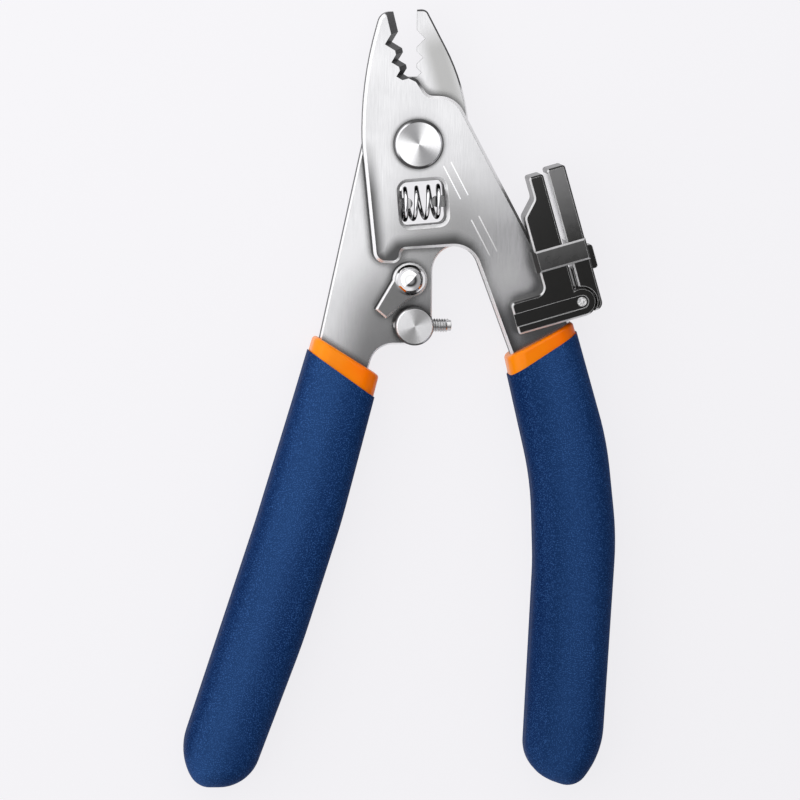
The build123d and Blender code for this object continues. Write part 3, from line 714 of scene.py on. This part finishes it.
HONE = (6000.0, 6000.0, 500.0)  # marks in a metre, drawn out along Z
material, start = new_finish("blade_steel")
hone = stretched_noise(start, place_on(start), HONE)
close_finish(
    start, Base_Color=hone.mix(grey(0.85), grey(0.98)), Metallic=1.0, Roughness=0.2 + hone * 0.1)
paint(material, "slitter_jaw_liner", "slitter_jaw_blade", "slitter_fixed_blade")


# Studio: a pale floor under the tool, a softbox over the jaws, a broad soft ceiling for the
# matt parts, and a bright horizon that lights the ground edges.
FLOOR = (0.922, 0.913, 0.939, 1.0)
FLOOR_SIZE = 4.0
FLOOR_DROP = 0.1 * MM           # clear of the tool's back
FLOOR_GLOW = 0.88               # share of the floor's look that takes no shadow
bpy.ops.object.select_all(action="DESELECT")
bpy.ops.mesh.primitive_plane_add(size=FLOOR_SIZE, location=(0.0, 0.0, -FLOOR_DROP))
floor = bpy.context.object
floor.name = "floor"
material, start = new_finish("pale_floor")
camera_ray = start.node("LightPath", output="Is Camera Ray")
glossy_ray = start.node("LightPath", output="Is Glossy Ray")
glow = camera_ray.math("MAXIMUM", glossy_ray) * FLOOR_GLOW
lit = start.node("BsdfDiffuse", inputs={"Color": FLOOR})
bright = start.node("Emission", inputs={"Color": FLOOR, "Strength": 1.0})
surface = start.node("MixShader", inputs={0: glow, 1: lit, 2: bright})
start.node("OutputMaterial", inputs={"Surface": surface})
floor.data.materials.append(material)

HORIZON_LEVEL = 0.95
HORIZON_TOP = (0.50, 0.78)      # fades out between these heights: 0 level, 1 overhead
HORIZON_DIM = 0.6               # taken off on the right
HORIZON_RIGHT = (0.0, 0.6)
ZENITH_LEVEL = 0.28
ZENITH_FOOT = (0.80, 0.97)
SKY_LEVEL = 0.05                # between them
world = bpy.data.worlds.new("studio")
world.use_nodes = True
world.node_tree.nodes.clear()
bpy.context.scene.world = world
start = Sum(world.node_tree)
direction = start.node("TexCoord", output="Generated")
overhead = direction.axis("Z")
dimmed = direction.axis("X").rise(*HORIZON_RIGHT) * HORIZON_DIM
horizon = (1 - overhead.rise(*HORIZON_TOP)) * (1 - dimmed)
zenith = overhead.rise(*ZENITH_FOOT)
glow = SKY_LEVEL + horizon * HORIZON_LEVEL + zenith * ZENITH_LEVEL
camera_ray = start.node("LightPath", output="Is Camera Ray")
level = camera_ray + (1 - camera_ray) * glow
back = start.node("Background", inputs={"Color": FLOOR, "Strength": level})
start.node("OutputWorld", inputs={"Surface": back})


def softbox(name, place, turn, width, height, radiance, reflected):
    """A rectangular lamp that faces down, turned about Z in degrees."""
    lamp = bpy.data.lights.new(name, "AREA")
    lamp.shape = "RECTANGLE"
    lamp.size, lamp.size_y = width, height
    lamp.energy = math.pi * width * height * radiance
    box = bpy.data.objects.new(name, lamp)
    box.location = place
    box.rotation_euler = (0.0, 0.0, math.radians(turn))
    box.visible_glossy = reflected
    box.visible_camera = False
    bpy.context.scene.collection.objects.link(box)


softbox(
    "key", place=(-0.2458, 0.2988, 0.25), turn=45.0, width=1.0, height=0.80, radiance=1.03,
    reflected=True)
softbox(
    "ceiling", place=(-0.2, 0.2, 1.4), turn=0.0, width=1.6, height=1.6, radiance=0.12,
    reflected=False)

VIEW_FROM = Vector((-0.105, 0.088, 1.0)).normalized()
VIEW_CENTRE = Vector((PIVOT.x - 3.2 * MM, PIVOT.y - 55.0 * MM, 6.5 * MM))
VIEW_WIDTH = 0.1712
VIEW_ROLL = math.radians(0.45)
LENS = 350.0
SENSOR = 36.0
VIEW_REACH = 20.0
camera = bpy.data.objects.new("camera", bpy.data.cameras.new("camera"))
camera.data.lens = LENS
camera.data.sensor_width = SENSOR
camera.data.clip_end = VIEW_REACH
side = Vector((0.0, 1.0, 0.0)).cross(VIEW_FROM).normalized()
upright = Matrix((side, VIEW_FROM.cross(side), VIEW_FROM)).transposed().to_4x4()
stand = Matrix.Translation(VIEW_CENTRE + VIEW_FROM * (VIEW_WIDTH * LENS / SENSOR))
camera.matrix_world = stand @ upright @ Matrix.Rotation(VIEW_ROLL, 4, "Z")
bpy.context.scene.collection.objects.link(camera)
bpy.context.scene.camera = camera
bpy.context.scene.view_settings.view_transform = "Standard"
